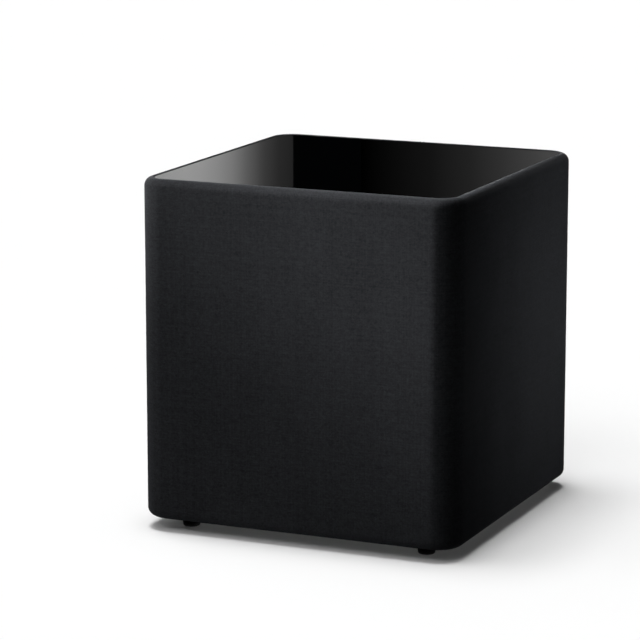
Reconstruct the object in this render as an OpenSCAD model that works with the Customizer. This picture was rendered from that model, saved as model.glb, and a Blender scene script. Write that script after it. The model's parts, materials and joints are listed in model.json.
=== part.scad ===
// Active subwoofer: sealed fabric-wrapped cabinet, 10-inch front-firing driver, rear amplifier.
// Millimetres. Origin on the floor at the centre of the cabinet's footprint, front facing -Y, +Z up.

/* [Body] */
// Width over the fabric
body_w = 343; // [338:1:360]
// Depth over the fabric
body_d = 349; // [345:1:370]
// Height over the fabric, without the feet
body_h = 349; // [340:1:360]
// Plan radius of the four vertical corners
corner_r = 28; // [27:0.5:32]
// Radius of the rolled top and bottom edges
edge_r = 9; // [8.5:0.5:9.5]

/* [Skin and trim] */
// Thickness of the acoustic fabric
fabric_t = 1.2; // [0.8:0.1:1.4]
// Thickness of the gloss top panel and of the bottom cover
cover_t = 4; // [3:0.5:4]
// Depth of the front grille frame
grille_d = 18; // [16:1:20]
// Thickness of the grille lattice
lattice_t = 4; // [3:0.5:5]

/* [Cabinet boards] */
// Thickness of the side boards
side_t = 18; // [16:1:19]
// Thickness of the front baffle
baffle_t = 22; // [20:1:25]
// Thickness of the rear panel
rear_t = 22; // [20:1:24]
// Thickness of the window brace
brace_t = 18; // [12:1:20]

/* [Feet] */
// Diameter of a rubber foot
foot_d = 18; // [16:1:22]
// Gap that the feet leave under the body
foot_h = 12; // [10:1:14]
// Distance of a foot's centre from the middle, sideways
foot_x = 129; // [120:1:135]
// Distance of a foot's centre from the middle, front to back
foot_y = 139; // [125:1:142]

/* [Driver] */
// Outer radius of the driver frame
frame_r = 131; // [129:0.5:131]
// Radius of the hole in the baffle
hole_r = 117; // [117:0.5:118]
// Radius of the voice coil former's inside
coil_r = 25; // [25:0.1:25.3]

/* [Amplifier] */
// Width of the amplifier plate
plate_w = 206; // [204:1:210]
// Height of the amplifier plate
plate_h = 256; // [254:1:258]
// Thickness of the amplifier plate
plate_t = 3; // [2.5:0.5:3]
// Radius of a knob
knob_r = 11; // [9:0.5:12]
// Height of a knob
knob_h = 9; // [8:0.5:9]

/* [Hidden] */
$fn = 64;

fit_gap = 0.3;                          // room between faces that pass each other
skin = fabric_t + fit_gap;              // from the outer face to the boards
lip_s = edge_r + 0.6;                   // where the fabric dives in beside a cover
lip_depth = cover_t + 0.4;              // how deep the fabric's tucked edge goes
cover_sink = 0.7;                       // how far a cover lies under the fabric's crest
rebate_z = cover_sink + cover_t;        // depth of the seat under a cover
trim_h = 13.5;                          // depth of a trim ring, from the crest
trim_s = 24;                            // how far a trim ring reaches inwards
lid_z = 26.8;                           // depth of the inner face of the top and bottom boards
z_base = foot_h;
z_top = foot_h + body_h;
z_mid = (z_base + z_top) / 2;
board_w = body_w - 2 * skin;
board_d = body_d - 2 * skin;
board_r = corner_r - skin;
wall_z = z_base + lid_z;
wall_h = body_h - 2 * lid_z;
inner_x = board_w / 2 - side_t;         // inner face of a side board
front_y = -board_d / 2 + grille_d;      // front face of the baffle
rear_y = board_d / 2;                   // rear face of the rear panel

frame_t = 3;                            // thickness of the driver's flange
frame_sink = 6;                         // depth of the flange's back face under the baffle's front
roll_r = 7;                             // outer radius of the surround's half roll
roll_c = 105;                           // radius at which the half roll is centred
screw_ring_r = 124;                     // radius of the driver's screw circle
driver_screws_n = 8;
neck_z = -50;                           // where the cone meets the coil former
spider_z = -62;                         // height of the spider's glued rims
gap_z = -80;                            // front face of the motor's top plate
top_plate_t = 8;
magnet_t = 15;
yoke_t = 8;
pole_r = coil_r - 1;
former_t = 0.3;
winding_t = 0.9;

amp_rebate = 12;                        // depth of the amplifier's recess in the rear panel
gasket_t = 1.5;
recess_gap = 1;                         // room round the plate in the recess
plate_y = rear_y - amp_rebate + gasket_t + plate_t;   // outer face of the amplifier plate
amp_hole_w = 176;
amp_hole_h = 226;
tub_w = 172;
tub_h = 222;
tub_d = 62;
tub_wall = 2;
amp_screw_x = 94.5;
amp_screw_y = 119.5;
volume_at = [-52, 86];
crossover_at = [52, 86];
status_at = [0, 86];
phase_at = [-52, 44];
placement_at = [0, 44];
power_mode_at = [52, 44];
line_at = [-52, 4];
line_pitch = 20;
socket_at = [46, 4];
inlet_at = [38, -92];
rocker_at = [-44, -92];
switch_travel = 4;
lever_w = 3.4;
lever_h = 3;
rocker_tilt = 8;
board_y = -38;                          // front face of the main board, from the plate's outer face
control_y = -14;                        // front face of the control board

// ---------- placing ----------

// Profile drawn as [distance in from the outer face, height], swept round the body's rounded outline.
module sweep_around() {
    for (k = [0:3]) {
        across = k % 2 == 0 ? body_w : body_d;
        reach = k % 2 == 0 ? body_d / 2 : body_w / 2;
        long = across - 2 * corner_r;
        rotate(90 * k) {
            translate([-long / 2, -reach, 0]) rotate([90, 0, 90]) linear_extrude(long) children();
            translate([long / 2, corner_r - reach, 0]) rotate(-90) rotate_extrude(angle = 90, $fn = 96)
                translate([corner_r, 0]) mirror([1, 0]) children();
        }
    }
}

module rounded_rectangle(w, h, r) {
    square([w - 2 * r, h], center = true);
    square([w, h - 2 * r], center = true);
    for (x = [-1, 1], y = [-1, 1]) translate([x * (w / 2 - r), y * (h / 2 - r)]) circle(r);
}

// The body's plan, moved in by inset.
module body_plan(inset) {
    rounded_rectangle(body_w - 2 * inset, body_d - 2 * inset, max(corner_r - inset, 4));
}

// A point of the driver's own frame: z forwards from the baffle's front face.
module on_driver() {
    translate([0, front_y, z_mid]) rotate([90, 0, 0]) children();
}

// A point of the amplifier's own frame: z out of the plate's outer face, y up, x right as seen from behind.
module on_amp() {
    translate([0, plate_y, z_mid]) rotate([90, 0, 180]) children();
}

module at_corners(x, y) {
    for (i = [-1, 1], j = [-1, 1]) translate([i * x, j * y, 0]) children();
}

// Turns the body's top edge into its bottom edge.
module upside_down() {
    translate([0, 0, z_base + z_top]) mirror([0, 0, 1]) children();
}

module at_foot_places() {
    at_corners(foot_x, foot_y) children();
}

module slab(z0, z1) {
    translate([0, 0, z0]) linear_extrude(z1 - z0) children();
}

module tube(r_out, r_in, z0, z1) {
    translate([0, 0, z0]) difference() {
        cylinder(h = z1 - z0, r = r_out);
        translate([0, 0, -1]) cylinder(h = z1 - z0 + 2, r = r_in);
    }
}

module block(w, h, z0, z1) {
    translate([-w / 2, -h / 2, z0]) cube([w, h, z1 - z0]);
}

module rod(r, z0, z1) {
    translate([0, 0, z0]) cylinder(h = z1 - z0, r = r);
}

// Pan-head screw whose head sits on z = 0 and whose shank goes down.
module pan_screw(head_r, head_h, shank_r, shank_l) {
    difference() {
        union() {
            rod(head_r, 0, head_h);
            rod(shank_r, -shank_l, 0.5);
        }
        for (turn = [0, 90]) rotate(turn) block(head_r * 1.2, head_r * 0.28, head_h - 1, head_h + 1);
    }
}

// ---------- skin and trim ----------

// The body's wall profile inside a surface that lies off under the outer face, from there in to s_end.
module skin_region(off, s_end) {
    translate([off, z_base + edge_r]) square([s_end - off, body_h - 2 * edge_r]);
    translate([edge_r, z_base + off]) square([s_end - edge_r, body_h - 2 * off]);
    for (z = [z_base + edge_r, z_top - edge_r]) intersection() {
        translate([edge_r, z]) circle(edge_r - off, $fn = 96);
        translate([0, z_base]) square([s_end, body_h]);
    }
}

// Fabric wrapped round the sides, rolled over the edges and tucked down beside each cover.
module fabric_sleeve() {
    tuck_h = body_h - 2 * lip_depth;
    color([0.09, 0.1, 0.11]) difference() {
        sweep_around() difference() {
            skin_region(0, lip_s);
            skin_region(fabric_t, lip_s - fabric_t);
            translate([lip_s - fabric_t - 1, z_base + lip_depth]) square([3, tuck_h]);
        }
        translate([0, body_d / 2 + 5, z_mid]) rotate([90, 0, 0]) linear_extrude(20)
            rounded_rectangle(recess_w + 2 * fit_gap, recess_h + 2 * fit_gap, 4);
    }
}

module cover_plan() {
    body_plan(lip_s + fit_gap);
}

module top_gloss_panel() {
    color([0.01, 0.01, 0.012]) slab(z_top - rebate_z, z_top - cover_sink) cover_plan();
}

module trim_profile() {
    intersection() {
        translate([edge_r, z_top - edge_r]) circle(edge_r - skin, $fn = 96);
        translate([0, z_top - edge_r - 1]) square([lip_s - skin, edge_r + 1]);
    }
    translate([skin, z_top - trim_h]) square([lip_s - 2 * skin, trim_h - edge_r]);
    translate([edge_r / 2 + 0.5, z_top - trim_h]) square([trim_s - edge_r / 2 - 0.5, trim_h - rebate_z]);
}

module top_trim_ring() {
    color([0.05, 0.05, 0.055]) sweep_around() trim_profile();
}

module bottom_trim_ring() {
    color([0.05, 0.05, 0.055]) upside_down() sweep_around() trim_profile();
}

module bottom_cover() {
    color([0.06, 0.06, 0.065]) difference() {
        slab(z_base + cover_sink, z_base + rebate_z) cover_plan();
        at_foot_places() rod(2.6, z_base, z_base + 10);
    }
}

// Moulded frame that carries the fabric over the front, with a lattice flush with its face.
module grille_frame() {
    cells = 9;
    rib = 4;
    pitch_x = (grille_open_w + rib) / cells;
    pitch_z = (grille_open_h + rib) / cells;
    color([0.07, 0.07, 0.075]) difference() {
        intersection() {
            slab(wall_z, wall_z + wall_h) body_plan(skin);
            translate([-body_w / 2, -board_d / 2, 0]) cube([body_w, grille_d, body_h * 2]);
        }
        translate([0, front_y + 1, z_mid]) rotate([90, 0, 0]) {
            linear_extrude(grille_d + 1 - lattice_t) rounded_rectangle(grille_open_w, grille_open_h, 6);
            linear_extrude(grille_d + 2) for (i = [0:cells - 1], j = [0:cells - 1])
                translate([(i + 0.5 - cells / 2) * pitch_x, (j + 0.5 - cells / 2) * pitch_z])
                    square([pitch_x - rib, pitch_z - rib], center = true);
        }
    }
}

// ---------- cabinet ----------

// Top board with a rebate round its rim for the trim ring.
module lid_board() {
    slab(z_top - lid_z, z_top - trim_h) body_plan(skin);
    slab(z_top - trim_h - 1, z_top - rebate_z) body_plan(trim_s + fit_gap);
}

module cabinet_top() {
    color([0.55, 0.42, 0.3]) lid_board();
}

module cabinet_bottom() {
    color([0.55, 0.42, 0.3]) difference() {
        upside_down() lid_board();
        at_foot_places() rod(2.1, z_base, z_base + 20);
    }
}

module side_board() {
    intersection() {
        slab(wall_z, wall_z + wall_h) body_plan(skin);
        translate([inner_x, front_y, 0]) cube([side_t + 1, rear_y - front_y + 1, body_h * 2]);
    }
}

module cabinet_left_side() {
    color([0.52, 0.4, 0.28]) mirror([1, 0, 0]) side_board();
}

module cabinet_right_side() {
    color([0.52, 0.4, 0.28]) side_board();
}

module front_baffle() {
    color([0.5, 0.38, 0.27]) difference() {
        translate([-inner_x, front_y, wall_z]) cube([2 * inner_x, baffle_t, wall_h]);
        on_driver() {
            rod(hole_r, -baffle_t - 1, 1);
            rod(frame_r + 0.5, -frame_sink, 1);
            for (k = [0:driver_screws_n - 1])
                rotate(screw_turn(k)) translate([screw_ring_r, 0, 0]) rod(2.1, -baffle_t - 1, 1);
        }
    }
}

recess_w = plate_w + 2 * recess_gap;
recess_h = plate_h + 2 * recess_gap;
grille_open_w = 2 * inner_x - 12;
grille_open_h = wall_h - 28;

function screw_turn(k) = 360 / driver_screws_n * (k + 0.5);

module rear_panel() {
    color([0.5, 0.38, 0.27]) difference() {
        intersection() {
            slab(wall_z, wall_z + wall_h) body_plan(skin);
            translate([-inner_x, rear_y - rear_t, 0]) cube([2 * inner_x, rear_t + 1, body_h * 2]);
        }
        translate([0, rear_y + 1, z_mid]) rotate([90, 0, 0]) {
            linear_extrude(amp_rebate + 1) rounded_rectangle(recess_w, recess_h, 3);
            linear_extrude(rear_t + 2) rounded_rectangle(amp_hole_w, amp_hole_h, 4);
        }
        on_amp() at_amp_screws() rod(1.8, -rear_t - 5, 0);
    }
}

brace_y = 36;

module window_brace() {
    color([0.55, 0.42, 0.3]) translate([0, brace_y + brace_t, z_mid]) rotate([90, 0, 0])
        linear_extrude(brace_t) difference() {
            square([2 * inner_x, wall_h], center = true);
            rounded_rectangle(220, 210, 20);
        }
}

// Two damping pads against the side boards, ahead of the brace.
module wadding() {
    pad_t = 20;
    pad_l = 150;
    color([0.85, 0.85, 0.82]) for (side = [-1, 1])
        translate([side * (inner_x - 0.5 - pad_t / 2), brace_y - 4 - pad_l / 2, z_mid]) rotate([90, 0, 90])
            linear_extrude(pad_t, center = true) rounded_rectangle(pad_l, wall_h - 14, 8);
}

// ---------- feet ----------

foot_seat_z = 5;                        // where the screw's head sits inside a foot

module foot() {
    foot_r = foot_d / 2;
    hole = 2.3;
    pocket = 5;
    color([0.03, 0.03, 0.03]) rotate_extrude() polygon([
        [pocket, 0], [foot_r - 1.4, 0], [foot_r - 0.5, 0.9], [foot_r, 4], [foot_r, z_base + cover_sink],
        [hole, z_base + cover_sink], [hole, foot_seat_z], [pocket, foot_seat_z]
    ]);
}

module foot_front_left() {
    translate([-foot_x, -foot_y, 0]) foot();
}

module foot_front_right() {
    translate([foot_x, -foot_y, 0]) foot();
}

module foot_rear_left() {
    translate([-foot_x, foot_y, 0]) foot();
}

module foot_rear_right() {
    translate([foot_x, foot_y, 0]) foot();
}

module foot_screws() {
    color([0.35, 0.35, 0.36]) at_foot_places() translate([0, 0, foot_seat_z]) mirror([0, 0, 1])
        pan_screw(4.2, 2.6, 2, 24);
}

// ---------- driver ----------

module driver_basket() {
    spokes = 4;
    seat_z = gap_z + 3;
    color([0.12, 0.12, 0.13]) on_driver() difference() {
        rotate_extrude() polygon([
            [roll_c + roll_r, -frame_sink], [roll_c + roll_r, -frame_sink + frame_t],
            [frame_r, -frame_sink + frame_t], [frame_r, -frame_sink],
            [hole_r - 1, -frame_sink], [hole_r - 1, -24], [82, spider_z - 2], [66, gap_z], [30, gap_z],
            [30, seat_z], [62, seat_z], [70, spider_z - 4], [70, spider_z], [79, spider_z],
            [roll_c + roll_r, -22]
        ]);
        for (k = [0:spokes - 1]) rotate(360 / spokes * k) rotate([0, 90, 0])
            translate([0, 0, 34]) linear_extrude(100)
                polygon([[26, -62], [sill_depth, -46], [sill_depth, 46], [26, 62]]);
        for (k = [0:driver_screws_n - 1])
            rotate(screw_turn(k)) translate([screw_ring_r, 0, 0]) rod(2.6, -10, 1);
    }
}

module driver_gasket_ring() {
    shelf_z = -frame_sink + frame_t;
    lip_r = 119.2;
    color([0.05, 0.05, 0.05]) on_driver() difference() {
        rotate_extrude() polygon([
            [roll_c + roll_r + 0.5, shelf_z + 1], [roll_c + roll_r + 0.5, 0], [frame_r - 0.5, 0],
            [frame_r - 0.5, shelf_z], [lip_r, shelf_z], [lip_r, shelf_z + 1]
        ]);
        for (k = [0:driver_screws_n - 1])
            rotate(screw_turn(k)) translate([screw_ring_r, 0, 0]) rod(4.6, -5, 1);
    }
}

module driver_screws() {
    color([0.3, 0.3, 0.3]) on_driver() for (k = [0:driver_screws_n - 1])
        rotate(screw_turn(k)) translate([screw_ring_r, 0, frame_t - frame_sink]) pan_screw(4.2, 2.6, 2, 17);
}

// Half-roll rubber surround with a glue lip on each side.
module surround() {
    lip_z = -frame_sink + frame_t;
    wall = 1;
    color([0.04, 0.04, 0.04]) on_driver() rotate_extrude() {
        difference() {
            translate([roll_c, lip_z]) circle(roll_r);
            translate([roll_c, lip_z]) circle(roll_r - wall);
            translate([roll_c - 10, lip_z - 20]) square([20, 20]);
        }
        translate([roll_c - roll_r - 7, lip_z]) square([8, wall]);
        translate([roll_c + roll_r - wall, lip_z]) square([8, wall]);
    }
}

cone_wall = 1.2;
cone_neck_r = coil_r + former_t;
cone_neck_z = neck_z + 1.4 * cone_wall;
cone_lip_r = roll_c - roll_r - 7;
cone_rim_z = frame_t - frame_sink;

// Height of the cone's front face at radius r.
function cone_face_z(r) =
    cone_neck_z + (r - cone_neck_r) * (cone_rim_z - cone_neck_z) / (cone_lip_r - cone_neck_r);

module cone() {
    rim_r = roll_c - roll_r - 0.5;
    color([0.13, 0.13, 0.14]) on_driver() rotate_extrude() polygon([
        [cone_neck_r, neck_z], [cone_neck_r + 1.2, neck_z - 3], [cone_lip_r + 0.8, cone_rim_z - cone_wall],
        [rim_r, cone_rim_z - cone_wall], [rim_r, cone_rim_z], [cone_lip_r, cone_rim_z],
        [cone_neck_r, cone_neck_z]
    ]);
}

// Domed cap over the voice coil, its rim on the cone's face.
module dust_cap() {
    cap_r = 34;
    rise = 10;
    wall = 1;
    dome_r = (cap_r * cap_r + rise * rise) / (2 * rise);
    glue = 0.05;
    color([0.1, 0.1, 0.11]) on_driver() translate([0, 0, cone_face_z(cap_r) + glue]) rotate_extrude()
        intersection() {
            difference() {
                translate([0, rise - dome_r]) circle(dome_r, $fn = 160);
                translate([0, rise - dome_r]) circle(dome_r - wall, $fn = 160);
            }
            square([cap_r, rise + 1]);
        }
}

module voice_coil_former() {
    color([0.7, 0.55, 0.3]) on_driver() tube(coil_r + former_t, coil_r, gap_z - 18, neck_z + 1);
}

module voice_coil() {
    middle = gap_z - top_plate_t / 2;
    color([0.72, 0.4, 0.2]) on_driver()
        tube(coil_r + former_t + winding_t, coil_r + former_t, middle - 11, middle + 11);
}

// Corrugated centring disc, a sine wave along its radius.
module spider() {
    inner = coil_r + former_t;
    outer = 78;
    wall = 0.7;
    waves = 5;
    steps = 40;
    height = 2;
    start = inner + 3;
    stop = 69;
    wave = [for (i = [0:steps])
        [start + (stop - start) * i / steps, spider_z + height * sin(360 * waves * i / steps)]];
    back = [for (i = [steps:-1:0]) [wave[i][0], wave[i][1] + wall]];
    color([0.75, 0.62, 0.2]) on_driver() rotate_extrude() polygon(concat(
        [[inner, spider_z]], wave, [[outer, spider_z], [outer, spider_z + wall]], back,
        [[inner, spider_z + wall]]
    ));
}

sill_depth = 58;                        // depth of the basket windows' sill under the baffle's front
tag_board_t = 2;
blade_t = 0.8;
blade_w = 4.8;
blade_z = tag_board_t - sill_depth;     // back face of the blades
blade_start = 80;                       // radius at which the blades begin
blade_end = 104;                        // radius that the blades reach
lead_spacing = 8;                       // distance of each conductor from the middle plane
tinsel_r = 0.9;

// Two braided leads that arch from the coil former to the blades.
module tinsel_leads() {
    start = coil_r + former_t + 0.9;
    stop = 84;
    arch_r = 45;
    half = asin((stop - start) / 2 / arch_r);
    end_z = blade_z + blade_t + tinsel_r;
    color([0.75, 0.6, 0.35]) on_driver() rotate(90) for (side = [-1, 1])
        translate([(start + stop) / 2, side * lead_spacing, end_z - arch_r * cos(half)])
            rotate([90, 0, 0]) rotate(90 - half) rotate_extrude(angle = 2 * half)
                translate([arch_r, 0]) circle(tinsel_r, $fn = 24);
}

// Tag board on the sill of the basket's top window, with two blades.
module driver_terminals() {
    color([0.6, 0.5, 0.25]) on_driver() rotate(90) {
        translate([79, -13, -sill_depth]) cube([17, 26, tag_board_t]);
        for (side = [-1, 1]) translate([blade_start, side * lead_spacing - blade_w / 2, blade_z])
            cube([blade_end - blade_start, blade_w, blade_t]);
    }
}

module motor_top_plate() {
    gap_r = coil_r + former_t + winding_t + 0.8;
    color([0.55, 0.56, 0.58]) on_driver() tube(62, gap_r, gap_z - top_plate_t, gap_z);
}

module magnet_rings() {
    glue = 0.1;
    front_z = gap_z - top_plate_t;
    color([0.16, 0.16, 0.17]) on_driver() {
        tube(72, 38, front_z - magnet_t + glue, front_z);
        tube(72, 38, front_z - 2 * magnet_t, front_z - magnet_t);
    }
}

module motor_yoke() {
    back_z = gap_z - top_plate_t - 2 * magnet_t;
    vent_r = 8;
    color([0.55, 0.56, 0.58]) on_driver() rotate_extrude() polygon([
        [vent_r, back_z - yoke_t], [64, back_z - yoke_t], [66, back_z - yoke_t + 2], [66, back_z],
        [pole_r, back_z], [pole_r, gap_z + 3], [vent_r, gap_z + 3]
    ]);
}

// ---------- wiring ----------

wire_r = 1.5;
tub_back = plate_y - plate_t - tub_d;   // inner face of the amplifier tub, seen from the driver
lead_start = [0, front_y - blade_z - blade_t / 2, z_mid + blade_end];
lead_end = [0, tub_back, z_mid + 66];
// Route of the leads, from the driver's blades over the motor to the tub.
lead_route = [
    lead_start + [0, 0, 2.5], lead_start + [0, 0, 8], lead_start + [0, 2, 12], lead_start + [0, 8, 15],
    lead_start + [0, 18, 15], lead_start + [0, 34, 13], lead_start + [0, 52, 8], lead_start + [0, 70, 0],
    lead_start + [0, 88, -10], lead_start + [0, 106, -20], lead_start + [0, 124, -28],
    lead_start + [0, 142, -33], lead_end + [0, -40, 1], lead_end + [0, -20, 0], lead_end
];

function unit(v) = v / norm(v);
function heading(p, i) = unit(p[min(i + 1, len(p) - 1)] - p[max(i - 1, 0)]);

// Tube of radius r through the points p, which lie in a plane of constant x.
module swept_wire(p, r, sides) {
    rings = [for (i = [0:len(p) - 1])
        let (t = heading(p, i), u = [1, 0, 0], v = cross(t, u))
            for (k = [0:sides - 1]) p[i] + r * (cos(360 * k / sides) * u + sin(360 * k / sides) * v)];
    last = (len(p) - 1) * sides;
    faces = concat(
        [[for (k = [0:sides - 1]) k]],
        [for (i = [0:len(p) - 2], k = [0:sides - 1])
            let (a = i * sides + k, b = i * sides + (k + 1) % sides) [a, a + sides, b + sides, b]],
        [[for (k = [sides - 1:-1:0]) last + k]]
    );
    polyhedron(rings, faces);
}

// Two leads with push-on receptacles at the driver's end.
module speaker_leads() {
    sleeve_t = 2.4;
    play = 0.2;
    color([0.5, 0.08, 0.06]) for (side = [-1, 1]) translate([side * lead_spacing, 0, 0]) {
        swept_wire(lead_route, wire_r, 8);
        translate(lead_start) difference() {
            translate([-blade_w / 2 - 0.8, -sleeve_t / 2, -6.5]) cube([blade_w + 1.6, sleeve_t, 9]);
            translate([-blade_w / 2 - play, -blade_t / 2 - play, -7])
                cube([blade_w + 2 * play, blade_t + 2 * play, 7.2]);
        }
    }
}

// ---------- amplifier ----------

module at_amp_screws() {
    for (x = [-1, 0, 1], y = [-1, 0, 1]) if (x != 0 || y != 0)
        translate([x * amp_screw_x, y * amp_screw_y, 0]) children();
}

module at_knobs() {
    for (p = [volume_at, crossover_at]) translate(p) children();
}

module at_switches() {
    for (p = [phase_at, placement_at, power_mode_at]) translate(p) children();
}

module at_line_inputs() {
    for (side = [-1, 1]) translate([line_at[0] + side * line_pitch / 2, line_at[1], 0]) children();
}

slot_l = lever_w + 2 * switch_travel / 2 + 2 * fit_gap;
inlet_w = 27;
inlet_h = 20;
socket_w = 26;
socket_h = 12;
rocker_w = 13;
rocker_l = 21;
boss_r = 6;
bush_r = 3.9;

module amp_plate() {
    color([0.08, 0.08, 0.085]) on_amp() difference() {
        slab(-plate_t, 0) rounded_rectangle(plate_w, plate_h, 2.5);
        at_amp_screws() rod(2.2, -9, 9);
        at_knobs() rod(bush_r + 0.1, -9, 9);
        translate(status_at) rod(1.6, -9, 9);
        at_switches() block(slot_l, lever_h + 1, -9, 9);
        at_line_inputs() rod(boss_r + 0.1, -9, 9);
        translate(socket_at) block(socket_w + 0.4, socket_h + 0.4, -9, 9);
        translate(inlet_at) block(inlet_w + 0.4, inlet_h + 0.4, -9, 9);
        translate(rocker_at) block(rocker_w + 0.4, rocker_l + 0.4, -9, 9);
    }
}

module amp_gasket() {
    color([0.1, 0.1, 0.1]) on_amp() difference() {
        slab(-plate_t - gasket_t, -plate_t) difference() {
            rounded_rectangle(plate_w, plate_h, 2.5);
            rounded_rectangle(amp_hole_w, amp_hole_h, 4);
        }
        at_amp_screws() rod(2.2, -9, 9);
    }
}

// Frame that clamps the fabric's edge and lines the recess.
module amp_bezel() {
    lip_z = body_d / 2 - plate_y;
    color([0.06, 0.06, 0.065]) on_amp() difference() {
        union() {
            slab(0, lip_z) rounded_rectangle(recess_w - 1, recess_h - 1, 2.6);
            slab(lip_z, lip_z + 1.5) rounded_rectangle(recess_w + 12, recess_h + 12, 8);
        }
        slab(-1, lip_z + 4) rounded_rectangle(plate_w - 7, plate_h - 7, 3);
    }
}

// Sealed tub behind the plate that keeps the electronics out of the driver's air.
module amp_tub() {
    color([0.11, 0.11, 0.12]) on_amp() translate([0, 0, -plate_t - tub_d]) difference() {
        slab(0, tub_d) rounded_rectangle(tub_w, tub_h, 6);
        slab(tub_wall, tub_d + 1) rounded_rectangle(tub_w - 2 * tub_wall, tub_h - 2 * tub_wall, 4);
    }
}

module amp_screws() {
    color([0.2, 0.2, 0.21]) on_amp() at_amp_screws() pan_screw(3.5, 2.2, 1.7, 18);
}

board_t = 1.6;
board_w_amp = 150;
board_h_amp = 190;

module main_board() {
    color([0.1, 0.35, 0.2]) on_amp() difference() {
        slab(board_y - board_t, board_y) rounded_rectangle(board_w_amp, board_h_amp, 2);
        at_corners(board_w_amp / 2 - 6, board_h_amp / 2 - 6) rod(1.6, board_y - 5, board_y + 5);
    }
}

module board_standoffs() {
    color([0.75, 0.6, 0.3]) on_amp() at_corners(board_w_amp / 2 - 6, board_h_amp / 2 - 6)
        rotate(30) translate([0, 0, board_y]) cylinder(h = -plate_t - board_y, r = 3.2, $fn = 6);
}

// Electrolytic cans on the board's far side.
module filter_capacitors() {
    color([0.12, 0.14, 0.3]) on_amp() for (x = [-58, -30], y = [-50, -20])
        translate([x, y, 0]) {
            rod(11, board_y - board_t - 19, board_y - board_t);
            rod(9.5, board_y - board_t - 20, board_y - board_t - 19);
        }
}

module power_transformer() {
    color([0.65, 0.55, 0.25]) on_amp() translate([32, -35, board_y - board_t]) {
        block(44, 36, -20, 0);
        block(36, 44, -17, -3);
    }
}

// Aluminium bracket that carries the output devices' heat to the plate.
module heat_spreader() {
    color([0.7, 0.71, 0.73]) on_amp() translate([0, -58, 0]) {
        block(90, 18, -plate_t - 4, -plate_t);
        translate([0, -6, 0]) block(90, 5, board_y, -plate_t - 3);
    }
}

module control_board() {
    color([0.1, 0.35, 0.2]) on_amp() translate([0, 66, 0]) block(126, 76, control_y - board_t, control_y);
}

module potentiometers() {
    color([0.3, 0.3, 0.32]) on_amp() at_knobs() difference() {
        union() {
            block(17, 17, control_y, -plate_t - 0.5);
            rod(bush_r, -plate_t - 1, 0.6);
        }
        rod(3.05, -12, 2);
    }
}

// Ribbed knob with an integral spindle and a pointer groove, pointing up at rest.
module knob() {
    ribs = 24;
    foot_z = 1;
    color([0.05, 0.05, 0.055]) difference() {
        union() {
            rod(knob_r, foot_z, foot_z + knob_h - 1);
            translate([0, 0, foot_z + knob_h - 1]) cylinder(h = 1, r1 = knob_r, r2 = knob_r - 1);
            rod(2.95, -11, foot_z + 1);
        }
        for (k = [0:ribs - 1]) rotate(360 / ribs * (k + 0.5)) translate([knob_r + 0.35, 0, foot_z + 1.5])
            cylinder(h = knob_h, r = 0.8, $fn = 16);
        translate([0, knob_r * 0.62, 0])
            block(1.2, knob_r * 0.7, foot_z + knob_h - 0.6, foot_z + knob_h + 1);
    }
}

module volume_knob() {
    on_amp() translate(volume_at) knob();
}

module crossover_knob() {
    on_amp() translate(crossover_at) knob();
}

module slide_switch_bodies() {
    color([0.25, 0.25, 0.26]) on_amp() at_switches() difference() {
        block(slot_l + 6, lever_h + 4, control_y, -plate_t);
        block(slot_l, lever_h + 0.4, -9, 0);
    }
}

// Lever of a slide switch, with finger ridges; offset puts it at its resting end.
module lever(offset) {
    color([0.8, 0.8, 0.8]) translate([offset, 0, 0]) {
        block(lever_w, lever_h, -8.5, 1);
        for (x = [-1, 0, 1]) translate([x * lever_w / 3, 0, 0]) block(lever_w / 6, lever_h, 0.5, 1.5);
    }
}

module phase_lever() {
    on_amp() translate(phase_at) lever(-switch_travel / 2);
}

module placement_lever() {
    on_amp() translate(placement_at) lever(0);
}

module power_mode_lever() {
    on_amp() translate(power_mode_at) lever(-switch_travel / 2);
}

module status_light() {
    lens_r = 1.5;
    color([0.3, 0.9, 0.4, 0.8]) on_amp() translate(status_at) {
        rod(lens_r, control_y, 0.4);
        translate([0, 0, 0.4]) intersection() {
            sphere(lens_r, $fn = 32);
            rod(lens_r, 0, lens_r);
        }
    }
}

barrel_r = 4.15;
barrel_wall = 0.7;
neck_r = barrel_r - 0.2;                // outer radius of a barrel's end inside the block
contact_r = 1.6;
barrel_l = 9;
boss_z = 0.6;

module line_input_block() {
    color([0.1, 0.1, 0.1]) on_amp() {
        difference() {
            union() {
                translate(line_at) block(line_pitch + 16, 16, -16, -plate_t);
                at_line_inputs() rod(boss_r, -plate_t - 1, boss_z);
            }
            at_line_inputs() tube(neck_r, barrel_r - barrel_wall, -2, boss_z + 1);
            at_line_inputs() rod(contact_r + 0.6, -8, boss_z + 1);
        }
    }
}

module line_input_contacts() {
    color([0.85, 0.7, 0.3]) on_amp() at_line_inputs() {
        tube(neck_r, barrel_r - barrel_wall, -2, boss_z + 1);
        tube(barrel_r, barrel_r - barrel_wall, boss_z, boss_z + barrel_l);
        difference() {
            rod(contact_r + 0.6, -8, boss_z + barrel_l - 1);
            rod(contact_r, boss_z - 1, boss_z + barrel_l);
        }
    }
}

// Four-way header for a pluggable speaker-level connector.
module speaker_level_socket() {
    color([0.15, 0.16, 0.15]) on_amp() translate(socket_at) difference() {
        union() {
            block(socket_w, socket_h, -12, 0.5);
            block(socket_w + 3, socket_h + 3, 0, 1.5);
        }
        block(socket_w - 4, socket_h - 3, -9, 3);
    }
}

module mains_inlet() {
    color([0.05, 0.05, 0.05]) on_amp() translate(inlet_at) difference() {
        union() {
            block(inlet_w, inlet_h, -20, 0.5);
            slab(0, 2) rounded_rectangle(inlet_w + 5, inlet_h + 5, 3);
        }
        slab(-16, 3) polygon([
            [-12.3, -8.3], [12.3, -8.3], [12.3, 4.3], [8.3, 8.3], [-8.3, 8.3], [-12.3, 4.3]
        ]);
    }
}

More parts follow.
